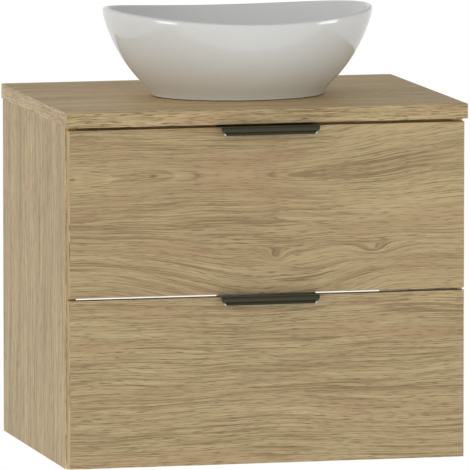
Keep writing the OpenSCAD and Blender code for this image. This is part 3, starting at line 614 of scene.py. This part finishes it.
class VANITY_OT_carcass(bpy.types.Operator):
    """Sides, bottom, rails and their edge bands"""

    bl_idname = "vanity.carcass"
    bl_label = "Carcass"

    def execute(self, context):
        raw = {"+Y": 1, "+Z": 1}
        for node, shift in (("side_panel_left", 0.0), ("side_panel_right", 2.1)):
            low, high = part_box(node)
            patches = board(low, high, 2, figure=soft_waves, cell=0.01, faces=raw, shift=shift)
            make(node + "_board", patches, ("side", "chips"), "cabinet", [node])
        for node, shift in (("bottom_panel", 3.0), ("top_front_rail", 4.0)):
            low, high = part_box(node)
            patches = board(low, high, 0, figure=soft_waves, cell=0.01, faces={"+Y": 1}, shift=shift)
            make(node + "_board", patches, ("side", "chips"), "cabinet", [node])
        for node, shift in (("top_back_rail", 5.0), ("lower_back_rail", 6.0)):
            low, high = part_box(node)
            patches = board(low, high, 0, figure=soft_waves, cell=0.01, faces={"+Z": 1, "-Z": 1}, shift=shift)
            make(node + "_board", patches, ("side", "chips"), "cabinet", [node])
        low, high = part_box("carcass_edge_bands")
        side_low, side_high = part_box("side_panel_left")
        thick = side_high.x - side_low.x
        bottom_low, bottom_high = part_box("bottom_panel")
        round_r = 0.45 * MM
        patches = two_boards("carcass_edge_bands", width=thick, grain=2, radius=round_r, cell=0.01, figure=wavy)
        patches += board(
            (bottom_low.x + 0.05 * MM, low.y, low.z), (bottom_high.x - 0.05 * MM, high.y, bottom_high.z),
            0, round_r, 0.01, wavy,
        )
        make("carcass_edges", patches, ("band",), "cabinet", ["carcass_edge_bands"])
        return {"FINISHED"}


class VANITY_OT_countertop(bpy.types.Operator):
    """Countertop and its rounded edge band"""

    bl_idname = "vanity.countertop"
    bl_label = "Countertop"

    def execute(self, context):
        low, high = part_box("countertop")
        out_low, out_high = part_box("countertop_edge_bands")
        patches = board(low, high, 0, 0.05 * MM, 0.008, soft_waves, {"+Y": 1}, 8.0)
        make("countertop_board", patches, ("top", "chips"), "cabinet", ["countertop"])
        patches = edge_ring(high, out_low, out_high, 2, BAND_ROUND, gone="+b")
        make("countertop_edge", patches, ("edge",), "cabinet", ["countertop_edge_bands"])
        return {"FINISHED"}


class VANITY_OT_fronts(bpy.types.Operator):
    """The two drawer fronts and their edge bands"""

    bl_idname = "vanity.fronts"
    bl_label = "Fronts"

    def execute(self, context):
        for level, finish, figure, shift in (
            ("upper", "front", arched, 0.0),
            ("lower", "lower", drifting, 13.0),
        ):
            low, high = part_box(level + "_front")
            out_low, out_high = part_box(level + "_front_bands")
            body = level + "_drawer"
            patches = board(low, high, 0, 0.05 * MM, 0.003, figure, None, shift)
            make(level + "_front_board", patches, (finish,), body, [level + "_front"])
            patches = edge_ring(high, out_low, out_high, 1, BAND_ROUND)
            make(level + "_front_edge", patches, ("edge",), body, [level + "_front_bands"])
        return {"FINISHED"}


# ---------------------------------------------------------------- pulls


class VANITY_OT_pulls(bpy.types.Operator):
    """Edge pulls of folded aluminium with ends that slant in towards the lip"""

    bl_idname = "vanity.pulls"
    bl_label = "Pulls"

    def execute(self, context):
        for level in ("upper", "lower"):
            make(
                level + "_pull", pull_patches(level), ("graphite", "painted_sheen", "cut"), level + "_drawer",
                [level + "_handle"],
            )
        return {"FINISHED"}


def pull_patches(level):
    """One patch: the section of a pull carried along X between its two ends.

    The section runs from the tab behind the front, over its edge, round the bend and down
    the lip. Its half-length is half - extra * s, where s runs from 0 at the top of the lip to
    1 at its lower edge. A groove runs along the lip. Above the groove, on the lip and over the
    top of the pull, the metal is painted paler as a painted sheen. The lip's lower edge is cut
    bright, and its two lower corners are painted the same bright colour as painted glints.
    """
    thick, bend, tab, corner, end_y, drop = 1.8 * MM, 4.5 * MM, 20 * MM, 0.35 * MM, 2 * MM, 13 * MM
    low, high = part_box(level + "_handle")
    front_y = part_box(level + "_front")[0].y
    half, extra = (high.x - low.x) / 2, 5 * MM
    top, out, back = high.z, low.y, high.y
    foot, cut, crease = top - drop, 0.1 * MM, 0.15 * MM
    groove = out + 0.9 * MM
    outline = filleted(
        [
            (back, top), (back, top - tab), (back - thick, top - tab), (back - thick, top - thick),
            (out + thick, top - thick), (out + thick, foot), (out + 0.7 * MM, foot), (out, foot + 0.7 * MM),
            (out, foot + 4.0 * MM), (groove, foot + 4.5 * MM), (groove, foot + 5.3 * MM),
            (out, foot + 5.8 * MM), (out, top),
        ],
        [bend / 2, corner, corner, 0, bend - thick, corner, cut, cut, crease, 0, 0, crease, bend],
    )
    outline = np.concatenate([outline, outline[:1]])
    y, z = outline[:, 0], outline[:, 1]
    share = np.where(y < front_y - end_y, np.clip((top - bend - z) / (drop - bend), 0, 1), 0)
    reach = half - extra * share
    t = np.linspace(-1, 1, 49)[None, :]
    grid = np.empty((len(outline), t.size, 3))
    grid[..., 0] = (low.x + high.x) / 2 + reach[:, None] * t
    grid[..., 1], grid[..., 2] = y[:, None], z[:, None]
    maps = np.stack([grid[..., 0], grid[..., 1] + grid[..., 2]], -1)
    mid_y, mid_z = (y[1:, None] + y[:-1, None]) / 2, (z[1:, None] + z[:-1, None]) / 2 - foot
    edge = (mid_z < 0.7 * MM) & (mid_y < out + 0.7 * MM)
    # Painted glints: the bright edge colour on the lip's two lower corners stands in for highlights
    painted_glint_corners = (mid_z < 7 * MM) & (mid_y < out + 0.5 * MM) & (np.abs(t[:, 1:] + t[:, :-1]) > 1.94)
    # Painted sheen: cells above the groove take the paler lacquer, which stands in for the reflection of the
    # bright surround
    upper = (mid_z > 5.6 * MM) & (mid_y < back - bend)
    return [(grid, maps, maps, np.where(edge | painted_glint_corners, 2, np.where(upper, 1, 0)))]


# ---------------------------------------------------------------- basin


class VANITY_OT_basin(bpy.types.Operator):
    """Oval vessel basin: an even shell with a rim that dips at the front and back"""

    bl_idname = "vanity.basin"
    bl_label = "Basin"

    def execute(self, context):
        make("basin_shell", basin_patches(), ("glaze",), "cabinet", ["basin"])
        return {"FINISHED"}


def smooth_max(p, q, k):
    """The larger of two values, with a rounded change-over of width k."""
    return 0.5 * (p + q + np.sqrt((p - q) ** 2 + k * k))


def basin_patches():
    """One patch that closes on itself both ways.

    The long section is a loop of half-length a and height z: foot, outer arc, round lip,
    inner arc, flat seat, drain hole and the recess below. At angle t a point lies at
    x = a cos t and y = a * ratio * sin t, where ratio goes from round at the drain to oval
    further out, and z drops by dip * (z / rim)^2, with dip greatest at the front and back.
    """
    low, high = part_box("basin")
    rim, dip, lip = 130.5, 13.0, 4.0
    arc_a, arc_z, outer_r, inner_r = -7.5, 171.5, 213.2, 205.2
    foot_a, foot_lean, foot_blend = 126, 0.3, 8
    seat_a, seat_z, wall = 36, 22, 8

    def outer(z):
        flare = smooth_max(arc_a + np.sqrt(outer_r**2 - (z - arc_z) ** 2), foot_a + foot_lean * z, foot_blend)
        return flare - 0.012 * np.clip(z - 118, 0, None) ** 2

    def inner(a):
        return smooth_max(arc_z - np.sqrt(inner_r**2 - (a - arc_a) ** 2), seat_z + 0.04 * a, 20)

    def arc(centre_a, centre_z, radius, start, end, count):
        t = np.radians(np.linspace(start, end, count))
        return np.stack([centre_a + radius * np.cos(t), centre_z + radius * np.sin(t)], -1)

    z = np.linspace(1.8, rim - lip, 57)[1:]
    outside = np.stack([outer(z), z], -1)
    lip_a = outer(rim - lip) - lip
    top = arc(lip_a, rim - lip, lip, 15, 165, 11)
    a = seat_a + (lip_a - lip - seat_a) * np.cos(np.radians(np.linspace(3, 90, 64)))
    inside = np.stack([a, inner(a)], -1)
    loop = np.concatenate(
        [
            [[117, 0.0]],
            arc(outer(1.8) - 1.8, 1.8, 1.8, -90, 0, 7),
            outside,
            top,
            inside,
            [[34.5, 20.3], [34.2, 20.0], [24, 20.0], [23.3, 19.7], [23, 19]],
            [[23, wall], [110, wall], [113, 6.5], [114, 5], [114, 1.5], [115, 0.3], [117, 0.0]],
        ]
    )
    a, z = loop[:, 0, None], loop[:, 1, None]
    turn = np.linspace(0, 2 * math.pi, 241)[None, :]
    oval = 0.788 + 0.022 * z / rim
    ratio = 1 + (oval - 1) * ease(a, seat_a, 105)
    fall = dip * (1 - np.cos(2 * turn)) / 2
    grid = np.empty((len(loop), turn.size, 3))
    grid[..., 0] = a * np.cos(turn)
    grid[..., 1] = a * ratio * np.sin(turn)
    grid[..., 2] = z - fall * (z / rim) ** 2
    grid *= MM
    grid[..., 0] += (low.x + high.x) / 2
    grid[..., 1] += (low.y + high.y) / 2
    grid[..., 2] += low.z
    maps = np.stack(np.broadcast_arrays(turn * 0.2, z * MM), -1)
    return [(grid, maps, maps, 0)]


# ---------------------------------------------------------------- drawers


class VANITY_OT_drawer_boxes(bpy.types.Operator):
    """White melamine boxes of both drawers"""

    bl_idname = "vanity.drawer_boxes"
    bl_label = "Drawer boxes"

    def execute(self, context):
        for level in ("upper", "lower"):
            low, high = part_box(level + "_box_front")
            sides = two_boards(level + "_box_sides", width=high.y - low.y, grain=1, radius=BOX_ROUND)
            self.panel(level, "side_boards", sides, "sides")
            self.panel(level, "front_board", board(low, high, 0, BOX_ROUND), "front")
        for part in ("back", "bottom"):
            low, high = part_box("lower_box_" + part)
            self.panel("lower", part + "_board", board(low, high, 0, BOX_ROUND), part)
        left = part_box("upper_box_backs")[0].x
        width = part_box("upper_trap_guard")[0].x - left
        backs = two_boards("upper_box_backs", width=width, grain=0, radius=BOX_ROUND)
        self.panel("upper", "back_boards", backs, "backs")
        return {"FINISHED"}

    def panel(self, level, name, patches, node):
        """White panels of one drawer's box."""
        box = level + "_box_"
        make(box + name, patches, ("melamine",), level + "_drawer", [box + node])


# ---------------------------------------------------------------- plug


class VANITY_OT_waste(bpy.types.Operator):
    """Domed push-open plug with a rounded rim"""

    bl_idname = "vanity.waste"
    bl_label = "Plug"

    def execute(self, context):
        low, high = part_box("plug_cap")
        centre = ((low.x + high.x) / 2, (low.y + high.y) / 2, low.z)
        radius, crown, thick = (high.x - low.x) / 2, 4 * MM, 3 * MM
        dome = (radius**2 + crown**2) / (2 * crown)
        reach = np.linspace(0, radius * 0.97, 24)
        top = np.stack([reach, thick + crown - dome + np.sqrt(dome**2 - reach**2)], -1)
        rim = filleted(
            [(radius * 0.97, thick + 0.1 * crown), (radius, thick), (radius, 0), (0, 0)],
            [0, 0.9 * MM, 0.6 * MM, 0],
        )
        make(
            "plug_button", lathe(np.concatenate([top, rim]), centre), ("chrome",), "waste_plug",
            ["plug_cap"],
        )
        return {"FINISHED"}


# ---------------------------------------------------------------- fittings that keep their CAD shape


NODE_FINISH = {
    "zinc": [
        "cams", "cam_bolts", "countertop_brackets", "countertop_screws", "hanger_hooks", "hanger_screws",
        "wall_plates", "upper_cabinet_members", "lower_cabinet_members", "runner_screws",
        "upper_middle_members", "lower_middle_members", "upper_drawer_members", "lower_drawer_members",
        "upper_front_screws", "lower_front_screws",
    ],
    "graphite": ["upper_handle_screws", "lower_handle_screws"],
    "beech": ["dowels"],
    "plastic": ["hanger_bodies", "upper_trap_guard"],
    "melamine": ["upper_box_bottom"],
    "rubber": ["waste_upper_gasket", "waste_lower_gasket", "trap_cup_seal", "plug_seal"],
    # The bead's dark colour is painted shade of the joint under the basin
    "sealant": ["basin_bead"],
    "brass": ["waste_nut"],
    "chrome": [
        "waste_body", "trap_inlet_nut", "trap_body", "trap_cup", "trap_outlet_nut", "wall_pipe",
        "wall_rosette", "plug_stem",
    ],
}


class VANITY_OT_fittings(bpy.types.Operator):
    """Finishes of the fittings that keep the shape of the frame"""

    bl_idname = "vanity.fittings"
    bl_label = "Fittings"

    def execute(self, context):
        for finish, nodes in NODE_FINISH.items():
            for node in nodes:
                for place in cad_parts[node].material_slots:
                    place.material = FINISH[finish]
        return {"FINISHED"}


# ---------------------------------------------------------------- studio


class VANITY_OT_studio(bpy.types.Operator):
    """Camera, floor and lights"""

    bl_idname = "vanity.studio"
    bl_label = "Studio"

    def execute(self, context):
        scene = context.scene
        look = scene.studio_look
        camera = bpy.data.cameras.new("camera")
        camera.lens, camera.sensor_width = 714.95, 36
        camera.clip_start, camera.clip_end = 0.1, 400
        eye = bpy.data.objects.new("camera", camera)
        eye.location = (-3.228, -13.537, 1.922)
        eye.rotation_euler = (math.radians(90 - 6.7025), 0, math.radians(-13.6455))
        scene.collection.objects.link(eye)
        scene.camera = eye
        scene.view_settings.view_transform = "Standard"

        world = bpy.data.worlds.new("studio")
        scene.world = world
        world.use_nodes = True
        tree = world.node_tree
        tree.nodes.clear()
        seen = add(tree, "ShaderNodeLightPath").outputs["Is Camera Ray"]
        white = add(tree, "ShaderNodeBackground", {"Color": (1, 1, 1, 1), "Strength": 1.0})
        heading = add(tree, "ShaderNodeTexCoord").outputs["Generated"]
        total = 0.0
        for away, strength in (
            ((-1, 0, 0), look.left),
            ((1, 0, 0), look.right),
            ((0, -1, 0), look.front),
            ((0, 1, 0), look.back),
            ((0, 0, 1), look.above),
        ):
            share = add(tree, "ShaderNodeVectorMath", {0: heading, 1: away}, operation="DOT_PRODUCT")
            share = maths(tree, "MAXIMUM", share.outputs["Value"], 0.0)
            total = maths(tree, "MULTIPLY_ADD", maths(tree, "MULTIPLY", share, share), strength, total)
        grey = add(tree, "ShaderNodeBackground", {"Color": (1, 1, 1, 1), "Strength": total})
        mixed = add(tree, "ShaderNodeMixShader", {0: seen, 1: grey.outputs[0], 2: white.outputs[0]})
        add(tree, "ShaderNodeOutputWorld", {"Surface": mixed.outputs[0]})

        half = 60.0
        level = CAD_LOW.z - look.floor_drop
        mesh = bpy.data.meshes.new("floor")
        corners = [(x * half, y * half, level) for x, y in ((-1, -1), (1, -1), (1, 1), (-1, 1))]
        mesh.from_pydata(corners, [], [(0, 1, 2, 3)])
        floor = bpy.data.objects.new("floor", mesh)
        scene.collection.objects.link(floor)
        paint = bpy.data.materials.new("Pale studio floor")
        paint.use_nodes = True
        tree = paint.node_tree
        tree.nodes.clear()
        seen = add(tree, "ShaderNodeLightPath").outputs["Is Camera Ray"]
        white = add(tree, "ShaderNodeEmission", {"Strength": 1.0})
        grey = add(tree, "ShaderNodeEmission", {"Strength": look.below})
        mixed = add(tree, "ShaderNodeMixShader", {0: seen, 1: grey.outputs[0], 2: white.outputs[0]})
        add(tree, "ShaderNodeOutputMaterial", {"Surface": mixed.outputs[0]})
        mesh.materials.append(paint)

        for name, place in (("glint_left", (-2.56, -1.72, 0.42)), ("glint_right", (2.66, -1.43, 0.42))):
            self.soft_box(name, place, 1.0, 1.4, look.glint)
        return {"FINISHED"}

    def soft_box(self, name, place, width, height, power):
        """An upright soft light that faces the vanity and shows only in glossy surfaces."""
        lamp = bpy.data.lights.new(name, "AREA")
        lamp.shape, lamp.size, lamp.size_y, lamp.energy = "RECTANGLE", width, height, power
        box = bpy.data.objects.new(name, lamp)
        box.location = place
        target = Vector((0, -0.24, 0.63))
        box.rotation_euler = (target - box.location).to_track_quat("-Z", "Y").to_euler()
        box.visible_camera = box.visible_diffuse = False
        bpy.context.scene.collection.objects.link(box)


OPERATORS = (
    VANITY_OT_carcass,
    VANITY_OT_countertop,
    VANITY_OT_fronts,
    VANITY_OT_pulls,
    VANITY_OT_basin,
    VANITY_OT_drawer_boxes,
    VANITY_OT_waste,
    VANITY_OT_fittings,
    VANITY_OT_studio,
)
SETTINGS = {
    "oak_look": OakSettings,
    "ceramic_look": CeramicSettings,
    "metal_look": MetalSettings,
    "studio_look": StudioSettings,
}


class VANITY_PT_panel(bpy.types.Panel):
    """Lists the pieces of the vanity"""

    bl_label = "Vanity"
    bl_idname = "VANITY_PT_panel"
    bl_space_type = "VIEW_3D"
    bl_region_type = "UI"
    bl_category = "Vanity"

    def draw(self, context):
        for name, group in SETTINGS.items():
            settings = getattr(context.scene, name)
            for key in group.__annotations__:
                self.layout.prop(settings, key)
        for operator in OPERATORS:
            self.layout.operator(operator.bl_idname)


CLASSES = (*SETTINGS.values(), *OPERATORS, VANITY_PT_panel)
FINISH = {}


def register():
    for cls in CLASSES:
        bpy.utils.register_class(cls)
    for name, group in SETTINGS.items():
        setattr(bpy.types.Scene, name, PointerProperty(type=group))


def unregister():
    for name in SETTINGS:
        delattr(bpy.types.Scene, name)
    for cls in reversed(CLASSES):
        bpy.utils.unregister_class(cls)


def main():
    register()
    FINISH.update(finishes())
    for operator in OPERATORS:
        group, name = operator.bl_idname.split(".")
        getattr(getattr(bpy.ops, group), name)()


if __name__ == "__main__":
    main()
